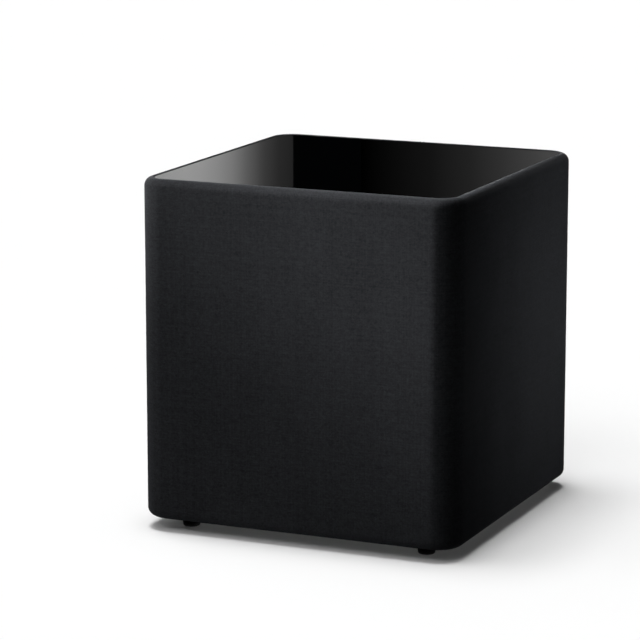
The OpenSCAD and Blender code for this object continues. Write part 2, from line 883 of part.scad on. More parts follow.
// Three mains blades and the four header pins.
module inlet_pins() {
    blade = [2, 4];
    color([0.75, 0.75, 0.76]) on_amp() {
        translate(inlet_at) for (p = [[-7, -2], [7, -2], [0, 3.5]])
            translate(p) block(blade[0], blade[1], -16, -3.5);
        translate(socket_at) for (k = [0:3]) translate([(k - 1.5) * 5.08, 0, 0]) block(1, 1, -9, -3.2);
    }
}

cradle_r = 9;
pivot_z = -1.5;

module rocker_housing() {
    color([0.06, 0.06, 0.06]) on_amp() translate(rocker_at) difference() {
        union() {
            block(rocker_w, rocker_l, -14, 0.5);
            slab(0, 1.6) rounded_rectangle(rocker_w + 4, rocker_l + 4, 1.5);
        }
        block(rocker_w - 2.4, 2 * cradle_r + 0.8, -11, 3);
    }
}

// Rocker with two faces that meet over the pivot; its ends are arcs about the pivot.
module power_rocker() {
    rise = 4.5;
    reach = cradle_r + 1;
    tip_z = rise + reach * tan(rocker_tilt);
    color([0.08, 0.08, 0.08]) on_amp() translate([rocker_at[0], rocker_at[1], pivot_z])
        rotate([rocker_tilt, 0, 0]) intersection() {
            rotate([0, 90, 0]) cylinder(h = rocker_w - 3, r = cradle_r, center = true);
            rotate([90, 0, 90]) linear_extrude(rocker_w, center = true) polygon([
                [-reach, tip_z], [0, rise], [reach, tip_z], [reach, -1], [5, -6], [-5, -6], [-reach, -1]
            ]);
        }
}

fabric_sleeve();
top_gloss_panel();
top_trim_ring();
bottom_trim_ring();
bottom_cover();
cabinet_top();
cabinet_bottom();
cabinet_left_side();
cabinet_right_side();
front_baffle();
rear_panel();
window_brace();
wadding();
grille_frame();
foot_front_left();
foot_front_right();
foot_rear_left();
foot_rear_right();
foot_screws();
driver_basket();
driver_gasket_ring();
driver_screws();
surround();
cone();
dust_cap();
voice_coil_former();
voice_coil();
spider();
tinsel_leads();
driver_terminals();
motor_top_plate();
magnet_rings();
motor_yoke();
speaker_leads();
amp_plate();
amp_gasket();
amp_bezel();
amp_tub();
amp_screws();
main_board();
board_standoffs();
filter_capacitors();
power_transformer();
heat_spreader();
control_board();
potentiometers();
volume_knob();
crossover_knob();
slide_switch_bodies();
phase_lever();
placement_lever();
power_mode_lever();
status_light();
line_input_block();
line_input_contacts();
speaker_level_socket();
mains_inlet();
inlet_pins();
rocker_housing();
power_rocker();
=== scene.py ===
"""Looks of the fabric-wrapped active subwoofer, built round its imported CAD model.

Metres, +Z up, front facing -Y, as in the CAD frame. Places come from the frame's own boxes.
"""
import json
from functools import partialmethod
from math import asin, atan2, copysign, cos, degrees, exp, hypot, pi, radians, sin, tau

import bmesh
import bpy
import numpy as np
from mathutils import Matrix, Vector, noise


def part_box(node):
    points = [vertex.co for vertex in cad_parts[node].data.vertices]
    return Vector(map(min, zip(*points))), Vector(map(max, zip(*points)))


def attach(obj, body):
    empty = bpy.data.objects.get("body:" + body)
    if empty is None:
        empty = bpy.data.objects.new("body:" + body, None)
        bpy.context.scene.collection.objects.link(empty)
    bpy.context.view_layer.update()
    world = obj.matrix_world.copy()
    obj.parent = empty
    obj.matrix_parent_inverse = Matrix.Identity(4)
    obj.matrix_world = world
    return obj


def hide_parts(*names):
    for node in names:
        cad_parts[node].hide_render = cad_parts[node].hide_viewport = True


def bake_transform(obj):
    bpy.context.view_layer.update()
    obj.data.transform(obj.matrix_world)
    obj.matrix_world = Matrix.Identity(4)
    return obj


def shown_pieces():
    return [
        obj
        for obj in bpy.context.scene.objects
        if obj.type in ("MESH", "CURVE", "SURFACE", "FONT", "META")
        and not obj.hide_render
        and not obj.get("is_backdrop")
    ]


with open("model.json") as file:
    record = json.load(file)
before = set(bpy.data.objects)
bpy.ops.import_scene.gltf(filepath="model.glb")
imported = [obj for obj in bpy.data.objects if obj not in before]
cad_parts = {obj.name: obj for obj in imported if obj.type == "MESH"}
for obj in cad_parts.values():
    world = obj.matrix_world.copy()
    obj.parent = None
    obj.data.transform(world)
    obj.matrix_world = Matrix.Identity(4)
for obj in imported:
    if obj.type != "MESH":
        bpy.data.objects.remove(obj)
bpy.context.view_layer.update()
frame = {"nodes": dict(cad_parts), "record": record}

MM = 0.001
nodes = frame["nodes"]
slot_of = {part["node"]: part["material_slot"] for part in frame["record"]["subparts"]}


# ---- places taken from the frame ----

sleeve_low, sleeve_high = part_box("fabric_sleeve")
Z_BASE, Z_TOP = sleeve_low.z, sleeve_high.z
Z_MID = (Z_BASE + Z_TOP) / 2
HALF_X = sleeve_high.x
HALF_Y = sleeve_high.y
CORNER_R = 28 * MM  # plan radius of the body's vertical corners
EDGE_R = 9 * MM  # radius of the rolled top and bottom edges

cone_low, cone_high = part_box("cone")
DRIVER_Z = (cone_low.z + cone_high.z) / 2
BAFFLE_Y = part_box("front_baffle")[0].y  # the driver's own zero, positive forwards
PLATE_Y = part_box("amp_plate")[1].y  # outer face of the amplifier plate


def middle(node):
    low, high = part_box(node)
    return (low + high) / 2


def on_driver(side, up, forward):
    """A point of the driver's frame: side and up from its axis, forward from the baffle."""
    return Vector((side, BAFFLE_Y - forward, DRIVER_Z + up))


# ---- material graphs ----

class Signal:
    """A number that changes over a surface, with arithmetic."""

    def __init__(self, graph, socket):
        self.graph = graph
        self.socket = socket

    def math(self, operation, *others):
        return self.graph.signal("Math", 0, enumerate((self, *others)), operation=operation)

    __add__ = partialmethod(math, "ADD")
    __sub__ = partialmethod(math, "SUBTRACT")
    __mul__ = partialmethod(math, "MULTIPLY")
    __truediv__ = partialmethod(math, "DIVIDE")
    size = partialmethod(math, "ABSOLUTE")
    whole = partialmethod(math, "FLOOR")
    part = partialmethod(math, "FRACT")
    above = partialmethod(math, "GREATER_THAN")

    def below(self, limit, soft):
        """1 where this is under limit, falling to 0 over a distance of soft."""
        return ((self - limit) * (-1 / soft) + 0.5).math("MAXIMUM", 0.0).math("MINIMUM", 1.0)

    def spread(self, low, high, start=0.0, end=1.0):
        """This, taken from start..end to low..high and held there."""
        return self.graph.signal("MapRange", 0, {
            "Value": self, "From Min": start, "From Max": end, "To Min": low, "To Max": high})


class Graph:
    """The node tree of one material."""

    def __init__(self, name, sockets=()):
        self.material = bpy.data.materials.new(name)
        self.material.use_nodes = True
        self.tree = self.material.node_tree
        self.shader = self.tree.nodes["Principled BSDF"]
        for socket, value in dict(sockets).items():
            self.shader.inputs[socket].default_value = value

    def feed(self, socket, value):
        if isinstance(value, Signal):
            self.tree.links.new(value.socket, socket)
        elif isinstance(value, bpy.types.NodeSocket):
            self.tree.links.new(value, socket)
        else:
            socket.default_value = value

    def add(self, kind, inputs=(), **settings):
        """A new node of this kind; inputs holds pairs of a socket and what feeds it."""
        made = self.tree.nodes.new("ShaderNode" + kind)
        for setting, value in settings.items():
            setattr(made, setting, value)
        for socket, value in dict(inputs).items():
            self.feed(made.inputs[socket], value)
        return made

    def signal(self, kind, output, inputs, **settings):
        """One output of such a node, as a signal."""
        return Signal(self, self.add(kind, inputs, **settings).outputs[output])

    def parts(self, vector):
        split = self.add("SeparateXYZ", {"Vector": vector})
        return [Signal(self, out) for out in split.outputs]

    def place(self):
        """The point in the row frame, as three signals."""
        return self.parts(self.add("TexCoord").outputs["Object"])

    def cloth(self):
        """The point on the piece's own flat pattern, in metres, as two signals."""
        return self.parts(self.add("UVMap", uv_map="pattern").outputs["UV"])[:2]

    def scaled(self, at, sizes):
        """The signals in at as one vector, over one size or over a size each, in mm."""
        each = sizes if isinstance(sizes, list) else [sizes] * len(at)
        parts = [value / (size * MM) for value, size in zip(at, each)]
        return self.add("CombineXYZ", dict(zip("XYZ", parts))).outputs[0]

    def noise(self, at, sizes, detail=2.0, warp=0.0):
        """Noise from 0 to 1 whose lumps have these sizes in mm along the signals in at."""
        return self.signal("TexNoise", "Fac", {
            "Vector": self.scaled(at, sizes), "Scale": 1.0, "Detail": detail, "Distortion": warp})

    def cells(self, at, size):
        """Distance to the nearest of scattered points about size mm apart, as a share of it."""
        return self.signal("TexVoronoi", "Distance", {"Vector": self.scaled(at, size), "Scale": 1.0})

    def random(self, value):
        return self.signal("TexWhiteNoise", "Value", {"W": value}, noise_dimensions="1D")

    def colour(self, amount, low, high):
        """The colour between low and high; either may be another such colour."""
        made = self.add("Mix", {0: amount}, data_type="RGBA")
        for index, value in ((6, low), (7, high)):
            self.feed(made.inputs[index], value if isinstance(value, bpy.types.NodeSocket) else (*value, 1.0))
        return made.outputs[2]

    def choose(self, amount, low, high):
        return self.signal("Mix", 0, {0: amount, 2: low, 3: high})

    def relief(self, height, depth, edge=0.0):
        """Bumps of this depth for a height from 0 to 1, over edges rounded by edge, both in mm."""
        inputs = {"Height": height, "Distance": depth * MM, "Strength": 1.0}
        if edge:
            inputs["Normal"] = self.add("Bevel", {"Radius": edge * MM}, samples=4).outputs[0]
        made = self.add("Bump", inputs)
        self.feed(self.shader.inputs["Normal"], made.outputs["Normal"])

    def worn(self, radius):
        """0 on open surface, rising to 1 along edges; radius in mm."""
        rounded = self.add("Bevel", {"Radius": radius * MM}, samples=4).outputs[0]
        flat = self.add("NewGeometry").outputs["Normal"]
        alike = self.signal("VectorMath", "Value", {0: rounded, 1: flat}, operation="DOT_PRODUCT")
        return alike.spread(1.0, 0.0, 0.82, 0.99)

    def finish(self, base, roughness, height, depth, edge=0.0):
        """The material, once its colour, roughness and relief are on the shader."""
        self.feed(self.shader.inputs["Base Color"], base)
        self.feed(self.shader.inputs["Roughness"], roughness)
        self.relief(height, depth, edge)
        return self.material


def span(a, b):
    """Length of the flat vector whose two parts are these signals."""
    return (a * a + b * b).math("SQRT")


def tinted(colour, by):
    return tuple(min(1.0, c * by) for c in colour)


def surface(name, colour, roughness, contrast=0.25, patch=22, grain=0.9, depth=0.02, edge=0.0,
            wear=0.0, detail=None, sockets=()):
    """A material with patchy colour, fine grain, uneven gloss and, where asked, edge wear.

    colour and roughness are the middle values; patch and grain are lump sizes and depth the relief, in mm.
    detail, given the graph and the place, returns a pattern, a height and the pattern's share of the tone.
    """
    graph = Graph(name, sockets)
    at = graph.place()
    clouds = graph.noise(at, patch, detail=4)
    fine = graph.noise(at, grain)
    tone = clouds * 0.6 + fine * 0.4
    height = fine
    if detail:
        pattern, height, share = detail(graph, at)
        tone = tone * (1 - share) + pattern * share
    dark, light = tinted(colour, 1 - contrast), tinted(colour, 1 + contrast)
    base = graph.colour(tone.spread(0, 1, 0.25, 0.75), dark, light)
    uneven = 0.14
    gloss = (fine * 0.5 + clouds * 0.5).spread(
        roughness * (1 - uneven), min(1, roughness * (1 + uneven)), 0.3, 0.7)
    if wear:
        scuffed = graph.worn(0.5) * graph.noise(at, 3, detail=3).spread(0, wear, 0.4, 0.65)
        base = graph.colour(scuffed, base, tinted([c + 0.05 for c in colour], 1.5))
        gloss = graph.choose(scuffed, gloss, roughness * 0.7)
    return graph.finish(base, gloss, height, depth, edge)


# ---- patterns that materials use ----

def weave(graph, u, v, pitch):
    """Height of a plain weave and which thread is on top, from two lengths on the cloth."""
    across, along = u / pitch, v / pitch
    top = ((across.whole() + along.whole()) * 0.5).part() * 2
    arch_u = (across.part() * pi).math("SINE")
    arch_v = (along.part() * pi).math("SINE")
    warp = arch_u * (arch_v * 0.4 + 0.6)
    weft = arch_v * (arch_u * 0.4 + 0.6)
    return graph.choose(top, weft, warp), top, across.whole(), along.whole()


FABRIC_DARK = (0.0135, 0.0142, 0.0168)
FABRIC_LIGHT = (0.052, 0.0545, 0.0605)
THREAD_PITCH = 0.8 * MM
STITCH_PITCH = 3.6 * MM


def acoustic_fabric():
    """Black melange cloth: plain weave of slubby threads with painted shade in the weave's low places, and
    the sewn seam's stitches at the rear.
    """
    graph = Graph("acoustic_fabric", {
        "Specular IOR Level": 0.25, "Sheen Weight": 0.10, "Sheen Roughness": 0.45,
        "Sheen Tint": (0.84, 0.90, 1.0, 1.0)})
    u, v = graph.cloth()
    height, top, warp_number, weft_number = weave(graph, u, v, THREAD_PITCH)
    warp_tone = graph.random(warp_number) * 0.3 + graph.noise([u, v], [1.1, 6]) * 0.7
    weft_tone = graph.random(weft_number + 0.5) * 0.3 + graph.noise([u, v], [8, 1.1]) * 0.7
    thread = graph.choose(top, weft_tone, warp_tone)
    flecks = graph.noise([u, v], [2.4, 2.0], detail=3, warp=0.8)
    lumps = graph.noise([u, v], [6.5, 5.0], warp=0.6)
    clouds = graph.noise([u, v], [45, 60])
    tone = thread * 0.3 + flecks * 0.38 + lumps * 0.2 + clouds * 0.12
    # painted shade: the cloth's colour is darkened by up to 28 % where the weave is low, between the threads
    valley_shade = height.spread(0.72, 1.0, 0.1, 0.8)
    shade = tone.spread(0.0, 1.0, 0.36, 0.64) * valley_shade
    stitches = (v / STITCH_PITCH).part().below(0.62, 0.1) * u.size().below(1.5 * MM, 0.3 * MM)
    return graph.finish(graph.colour(shade, FABRIC_DARK, FABRIC_LIGHT), tone.spread(0.78, 0.95, 0.3, 0.7),
                        height * 0.5 + flecks * 0.5 - stitches * 0.9, 0.24)


def gloss_acrylic():
    """Polished black sheet with faint smears and a few dust specks."""
    graph = Graph("gloss_acrylic", {"IOR": 1.49})
    at = graph.place()
    smears = graph.noise(at, [60, 25, 60], detail=5, warp=1.5)
    specks = graph.cells(at, 9).below(0.045, 0.02)
    roughness = smears.spread(0.012, 0.035, 0.35, 0.7) + specks * 0.1
    return graph.finish((0.0012, 0.0012, 0.0014, 1.0), roughness, smears, 0.002)


def turned(graph, at):
    """Rings left by a lathe about the driver's axis."""
    radius = span(at[0], at[2] - DRIVER_Z)
    rings = graph.noise([radius, at[1]], 0.5, detail=3)
    return rings, rings, 0.5


def wound(graph, at):
    """Turns of round wire side by side along the driver's axis, with painted shade in the grooves between
    them.
    """
    turns = ((at[1] / (0.55 * MM)).part() * pi).math("SINE")
    # painted shade: the profile that shapes the turns also darkens the copper's colour between them
    return turns, turns, 0.6


def embossed(graph, at):
    """Paper pulp with fibres and shallow rings about the driver's axis."""
    radius = span(at[0], at[2] - DRIVER_Z)
    rings = ((radius / (9 * MM)).part() * pi).math("SINE").math("POWER", 6.0)
    fibres = graph.noise(at, [0.5, 3, 2], detail=4, warp=3.0)
    return fibres, fibres * 0.35 + rings * 0.65, 0.6


def porous(graph, at):
    """Open cells of foam, with painted shade darkening the middle of each pore."""
    pores = graph.cells(at, 0.9)
    # painted shade: the pores' hollows are coloured darker, following the relief
    return pores, pores, 0.5


def fibrous(sizes, detail, warp, share):
    """A pattern of fibres or lines whose lumps have these sizes in mm."""
    def pattern(graph, at):
        lumps = graph.noise(at, sizes, detail, warp)
        return lumps, lumps, share
    return pattern


chipped = fibrous([1.1, 1.1, 4], 5, 1.0, 0.65)  # chips of pressed wood fibre, lying in the board
fluffy = fibrous([2.2, 7, 2.8], 6, 4.0, 0.6)  # tangled fibres of batting
brushed = fibrous([20, 0.25, 0.25], 3, 0.0, 0.6)  # lines of drawn metal, running sideways


def etched(graph, at):
    """Straight copper tracks in blocks, and round pads, seen through a board's mask."""
    block, pitch, pad_pitch = 7 * MM, 1.6 * MM, 3.5 * MM
    half_track, pad_radius = 0.22, 0.24  # shares of the pitches
    block_number = (at[0] / block).whole() * 13 + (at[2] / block).whole() * 71
    upright = graph.random(block_number).above(0.5)
    filled = graph.random(block_number + 0.37).above(0.28)
    across = graph.choose(upright, at[2], at[0]) / pitch
    tracks = (across.part() - 0.5).size().below(half_track, 0.06) * filled
    side, up = at[0] / pad_pitch, at[2] / pad_pitch
    pad_number = side.whole() * 29 + up.whole() * 113
    from_pad = span(side.part() - 0.5, up.part() - 0.5)
    pads = from_pad.below(pad_radius, 0.05) * graph.random(pad_number).above(0.6)
    copper = tracks.math("MAXIMUM", pads)
    return copper, copper, 0.7


def meshed(graph, at):
    """Open-weave treated cloth, with painted shade where the weave is low."""
    height, *_ = weave(graph, at[0], at[2], 0.9 * MM)
    # painted shade: the weave's height also darkens the cloth's colour in its low places
    return height, height, 0.55


def taped(graph, at):
    """Layers of winding tape with overlapping edges."""
    laps = (at[1] / (5.5 * MM) + at[2] / (90 * MM)).part()
    return laps, laps.math("POWER", 8.0), 0.5


# ---- printing on the amplifier plate and the rocker ----

def ring_of_ticks(at, centre):
    """Eleven printed strokes round a knob, from -150 to 150 degrees, the end ones longer."""
    side, up = at[0] - centre.x, at[2] - centre.z
    radius = span(side, up)
    angle = side.math("ARCTAN2", up)
    step = radians(30)
    off = ((angle / step + 0.5).part() - 0.5).size() * step * radius
    ends = angle.size().above(radians(135))
    reach = ends * (1.2 * MM) + 17 * MM
    inside = (reach - radius).size().below(1.25 * MM, 0.2 * MM) * off.below(0.32 * MM, 0.15 * MM)
    return inside * angle.size().below(radians(155), 0.02)


PRINT_SOFT = 0.15 * MM  # width of a stroke's soft edge


def bar(at, x, z, half_w, half_h):
    """1 in a printed bar about x, z, 0 beside it; its half width and half height are in mm."""
    inside = (at[0] - x).size().below(half_w * MM, PRINT_SOFT)
    return inside * (at[2] - z).size().below(half_h * MM, PRINT_SOFT)


def hoop(at, x, z, radius, half_width):
    """1 on a printed circle about x, z, 0 beside it; its radius and half width are in mm."""
    return (span(at[0] - x, at[2] - z) - radius * MM).size().below(half_width * MM, PRINT_SOFT)


def printed_plate():
    """Textured powder coat with plain printed strokes beside the controls, and no lettering."""
    graph = Graph("printed_plate", {"Specular IOR Level": 0.45})
    at = graph.place()
    orange = graph.noise(at, 0.8)
    clouds = graph.noise(at, 35, detail=3)
    base = graph.colour(clouds * 0.5 + orange * 0.5, (0.012, 0.012, 0.013), (0.03, 0.03, 0.032))
    strokes = [ring_of_ticks(at, middle(node)) for node in ("volume_knob", "crossover_knob")]
    switch_z = middle("slide_switch_bodies").z
    for x in (-52 * MM, 0, 52 * MM):
        for side in (-1, 1):
            strokes.append(bar(at, x + side * 7.5 * MM, switch_z, 1.6, 0.3))
            strokes.append(bar(at, x + side * 9.1 * MM, switch_z + 2.2 * MM, 0.3, 2.5))
    socket, jacks = middle("speaker_level_socket"), middle("line_input_block")
    strokes += [bar(at, socket.x + side * 18 * MM, socket.z, 0.3, 7) for side in (-1, 1)]
    strokes += [bar(at, 0, Z_MID + up * MM, 84, 0.25) for up in (64, 24, -16)]
    white_hoop, red_hoop = (
        hoop(at, jacks.x + side * 10 * MM, jacks.z, 8, 0.6) for side in (-1, 1))
    marks = white_hoop
    for stroke in strokes:
        marks = marks.math("MAXIMUM", stroke)
    outside = (at[1] - (PLATE_Y - 0.5 * MM)).above(0.0)
    ink = graph.noise(at, 0.5).spread(0.8, 1.0, 0.3, 0.6) * outside
    base = graph.colour(marks * ink, base, (0.62, 0.62, 0.6))
    base = graph.colour(red_hoop * ink, base, (0.5, 0.02, 0.015))
    base = graph.colour(graph.worn(0.4) * 0.35, base, (0.12, 0.12, 0.12))
    return graph.finish(base, orange.spread(0.45, 0.6, 0.3, 0.7), orange, 0.05, 0.3)


def marked_rocker():
    """Satin black moulding with a stroke on one face and a ring on the other."""
    graph = Graph("marked_rocker")
    at = graph.place()
    centre = middle("power_rocker")
    fine = graph.noise(at, 0.6)
    stroke = bar(at, centre.x, centre.z + 5 * MM, 0.4, 1.9)
    ring = hoop(at, centre.x, centre.z - 5 * MM, 1.8, 0.35)
    outside = (at[1] - (PLATE_Y - 1 * MM)).above(0.0)
    base = graph.colour(fine, (0.012, 0.012, 0.012), (0.022, 0.022, 0.023))
    base = graph.colour(stroke.math("MAXIMUM", ring) * outside, base, (0.7, 0.7, 0.68))
    return graph.finish(base, fine.spread(0.32, 0.42, 0.3, 0.7), fine, 0.01, 0.5)


def paired_leads():
    """Soft vinyl over the two wires, red on one and black on the other."""
    graph = Graph("lead_insulation")
    at = graph.place()
    fine = graph.noise(at, [0.5, 6, 6])
    red = graph.colour(fine, (0.36, 0.015, 0.012), (0.47, 0.025, 0.018))
    black = graph.colour(fine, (0.010, 0.010, 0.010), (0.024, 0.024, 0.025))
    first_wire = at[0].above(0.0)
    base = graph.colour(first_wire, black, red)
    return graph.finish(base, fine.spread(0.34, 0.46, 0.3, 0.7), fine, 0.01)


def pointed_knob():
    """Soft-touch moulding with a white pointer line, drawn on the knob's own pattern."""
    graph = Graph("pointed_knob")
    at = graph.place()
    u, v = graph.cloth()
    fine = graph.noise(at, 0.5)
    pointer = u.size().below(0.55 * MM, 0.12 * MM) * (v - 7 * MM).size().below(3.4 * MM, 0.12 * MM)
    worn = graph.worn(0.5) * graph.noise(at, 2).spread(0, 0.5, 0.4, 0.6)
    base = graph.colour(fine, (0.011, 0.011, 0.012), (0.021, 0.021, 0.022))
    base = graph.colour(worn, base, (0.07, 0.07, 0.07))
    base = graph.colour(pointer, base, (0.75, 0.75, 0.73))
    return graph.finish(base, fine.spread(0.42, 0.56, 0.3, 0.7), fine, 0.012)


# ---- the materials, one for each slot of the record ----

METAL = {"Metallic": 1.0}
FINISHES = {  # slot: middle colour, roughness, and what differs from a surface's usual values
    "black_moulding": ((0.016, 0.016, 0.017), 0.5, dict(grain=0.45, depth=0.03, edge=0.4, wear=0.4)),
    "board": ((0.36, 0.25, 0.15), 0.85, dict(contrast=0.3, detail=chipped, depth=0.06, edge=0.5)),
    "polyester_wadding": ((0.66, 0.66, 0.63), 0.95, dict(
        contrast=0.28, detail=fluffy, depth=1.8, sockets={"Sheen Weight": 0.5, "Sheen Roughness": 0.4})),
    "foot_rubber": ((0.012, 0.012, 0.0125), 0.75, dict(grain=0.3, depth=0.03, edge=0.3, wear=0.25)),
    "zinc_steel": ((0.52, 0.53, 0.54), 0.32, dict(patch=6, contrast=0.15, edge=0.15, sockets=METAL)),
    "black_steel": ((0.035, 0.035, 0.037), 0.42, dict(
        patch=5, edge=0.15, wear=0.5, sockets={"Metallic": 0.6})),
    "cast_basket": ((0.028, 0.028, 0.03), 0.55, dict(
        grain=0.7, depth=0.08, edge=0.6, wear=0.5, sockets={"Metallic": 0.2})),
    "surround_rubber": ((0.017, 0.017, 0.018), 0.62, dict(grain=0.35, depth=0.015)),
    "cone_paper": ((0.035, 0.035, 0.038), 0.85, dict(detail=embossed, depth=0.12)),
    "former": ((0.42, 0.24, 0.08), 0.4, dict(grain=0.4, depth=0.01, sockets={"Coat Weight": 0.3})),
    "copper": ((0.62, 0.22, 0.09), 0.3, dict(detail=wound, depth=0.12, sockets=METAL)),
    "spider_cloth": ((0.62, 0.44, 0.1), 0.8, dict(detail=meshed, depth=0.15)),
    "tinned_braid": ((0.62, 0.45, 0.28), 0.38, dict(patch=3, grain=0.25, depth=0.05, sockets=METAL)),
    "plated_steel": ((0.55, 0.56, 0.58), 0.3, dict(
        contrast=0.15, detail=turned, depth=0.03, edge=0.4, sockets=METAL)),
    "ferrite": ((0.055, 0.055, 0.06), 0.6, dict(
        grain=0.5, depth=0.06, edge=0.8, wear=0.6, sockets={"Metallic": 0.3})),
    "foam": ((0.024, 0.024, 0.025), 0.95, dict(detail=porous, depth=0.25)),
    "circuit_board": ((0.02, 0.11, 0.045), 0.35, dict(
        contrast=0.55, detail=etched, depth=0.03, edge=0.2,
        sockets={"Coat Weight": 0.4, "Coat Roughness": 0.2})),
    "brass": ((0.72, 0.5, 0.2), 0.3, dict(contrast=0.12, patch=6, edge=0.2, sockets=METAL)),
    "capacitor_sleeve": ((0.015, 0.02, 0.07), 0.35, dict(patch=8, grain=0.6, depth=0.02, edge=0.5)),
    "transformer": ((0.6, 0.42, 0.08), 0.4, dict(detail=taped, depth=0.12, edge=0.6)),
    "bare_aluminium": ((0.68, 0.69, 0.7), 0.35, dict(
        contrast=0.12, detail=brushed, depth=0.02, edge=0.4, sockets=METAL)),
    "component_plastic": ((0.014, 0.014, 0.0145), 0.45, dict(grain=0.35, depth=0.02, edge=0.3, wear=0.3)),
    "lever_plastic": ((0.55, 0.55, 0.54), 0.45, dict(
        contrast=0.08, patch=3, grain=0.3, depth=0.01, edge=0.25)),
    "gold_contact": ((0.86, 0.6, 0.22), 0.2, dict(contrast=0.1, patch=4, edge=0.15, sockets=METAL)),
    "nickel_pin": ((0.66, 0.64, 0.6), 0.24, dict(contrast=0.1, patch=3, edge=0.2, sockets=METAL)),
    "status_lens": ((0.3, 0.62, 0.4), 0.15, dict(
        contrast=0.06, patch=2, grain=0.2, depth=0.002,
        sockets={"Emission Color": (0.2, 1.0, 0.45, 1.0), "Emission Strength": 0.6})),
    "tag_board": ((0.3, 0.17, 0.07), 0.55, dict(detail=chipped, depth=0.02, edge=0.2)),
}
materials = {slot: surface(slot, colour, rough, **rest) for slot, (colour, rough, rest) in FINISHES.items()}
materials["acoustic_fabric"] = acoustic_fabric()
materials["gloss_acrylic"] = gloss_acrylic()
materials["lead_insulation"] = paired_leads()
own_materials = {"amp_plate": printed_plate(), "power_rocker": marked_rocker()}

for name, cad in nodes.items():
    finish = own_materials.get(name, materials[slot_of[name]])
    if not cad.material_slots:
        cad.data.materials.append(finish)
    for place in cad.material_slots:
        place.material = finish


# ---- mesh tools ----

def make_piece(name, points, faces, material, pattern=None, smooth_angle=40):
    """A mesh object from points and faces; pattern gives each face corner's place on the flat pattern."""
    mesh = bpy.data.meshes.new(name)
    mesh.from_pydata([tuple(p) for p in points], [], faces)
    if pattern is not None:
        layer = mesh.uv_layers.new(name="pattern")
        layer.data.foreach_set("uv", np.asarray(pattern, np.float32).ravel())
    mesh.materials.append(material)
    mesh.validate()
    mesh.shade_smooth()
    mesh.set_sharp_from_angle(angle=radians(smooth_angle))
    made = bpy.data.objects.new(name, mesh)
    bpy.context.scene.collection.objects.link(made)
    return made


def tube_faces(ring_count, count):
    """Faces round a stack of rings of count points each, with a flat face over each end."""
    faces = []
    for a in range(ring_count - 1):
        for k in range(count):
            m = (k + 1) % count
            faces.append((a * count + k, a * count + m, (a + 1) * count + m, (a + 1) * count + k))
    last = (ring_count - 1) * count
    return faces + [tuple(reversed(range(count))), tuple(range(last, last + count))]


def steps_with(start, end, step, stops=()):
    """Values from start to end about step apart that include every stop."""
    held = sorted([start, end, *(s for s in stops if start < s < end)])
    values = [held[0]]
    for low, high in zip(held, held[1:]):
        count = max(1, round((high - low) / step))
        values += [low + (high - low) * (k + 1) / count for k in range(count)]
    return values


def body_outline(step, arc_steps, rear_stops=()):
    """Round the body seen from above, from the middle of the rear by the left, front and right.

    Each entry is x, y, outward normal x, normal y and the distance gone, at the outer face.
    """
    long_x, long_y = HALF_X - CORNER_R, HALF_Y - CORNER_R
    stations = []
    runs = [
        (0, long_x, 90, rear_stops), (-long_y, long_y, 180, ()), (-long_x, long_x, 270, ()),
        (-long_y, long_y, 0, ()), (-long_x, 0, 90, [-s for s in rear_stops]),
    ]
    gone = 0.0
    for number, (start, end, facing, stops) in enumerate(runs):
        angle = radians(facing)
        normal = Vector((cos(angle), sin(angle)))
        along = Vector((-normal.y, normal.x))
        reach = HALF_Y if facing in (90, 270) else HALF_X
        values = steps_with(start, end, step, stops)
        for value in values[1:] if number else values:
            spot = normal * reach + along * value
            stations.append((spot.x, spot.y, normal.x, normal.y, gone + value - start))
        gone += end - start
        if number == len(runs) - 1:
            break
        hub = normal * (reach - CORNER_R) + along * end
        for k in range(1, arc_steps + 1):
            turn = angle + pi / 2 * k / arc_steps
            out = Vector((cos(turn), sin(turn)))
            spot = hub + out * CORNER_R
            stations.append((spot.x, spot.y, out.x, out.y, gone + CORNER_R * (turn - angle)))
        gone += CORNER_R * pi / 2
    return stations


# ---- fabric sleeve ----

FABRIC_T = 1.1 * MM
TUCK_IN = 9.6 * MM  # how far in from the outer face the tucked edge lies
TUCK_DEPTH = 4.4 * MM
FOLD_R = 1.2 * MM  # radius of the fold between roll and tuck
SEAM_WIDTH = 5 * MM
GATHERS = 9  # small folds round each corner's rolled edge
GATHER_DEPTH = 0.16 * MM
cut_low, cut_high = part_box("amp_bezel")
CUT_MARGIN = 5.7 * MM  # the bezel's flange covers this much of the fabric
CUT_X = cut_high.x - CUT_MARGIN
CUT_Z = (cut_high.z - cut_low.z) / 2 - CUT_MARGIN


def edge_profile():
    """One edge of the sleeve's section, from the tuck over the roll: inset, depth, normal in, normal up."""
    section = [(TUCK_IN, depth, 1.0, 0.0) for depth in np.linspace(TUCK_DEPTH, FOLD_R, 4)]
    for hub, radius, turns in ((TUCK_IN - FOLD_R, FOLD_R, (15, 80, 6)), (EDGE_R, EDGE_R, (94, 180, 15))):
        for turn in np.radians(np.linspace(*turns)):
            c, s = cos(turn), sin(turn)
            section.append((hub + radius * c, radius - radius * s, c, s))
    return section


def sleeve_section():
    """The whole section from the top tuck to the bottom tuck: inset, z, normal in, normal up, length gone."""
    edge = edge_profile()
    top = [(s, Z_TOP - d, n, m) for s, d, n, m in edge]
    wall = [(0.0, z, -1.0, 0.0) for z in
            steps_with(Z_BASE + EDGE_R, Z_TOP - EDGE_R, 5 * MM, (Z_MID - CUT_Z, Z_MID + CUT_Z))[1:-1][::-1]]
    bottom = [(s, Z_BASE + d, n, -m) for s, d, n, m in edge[::-1]]
    section = top + wall + bottom
    gone = [0.0]
    for a, b in zip(section, section[1:]):
        gone.append(gone[-1] + hypot(b[0] - a[0], b[1] - a[1]))
    return [(*row, length) for row, length in zip(section, gone)]


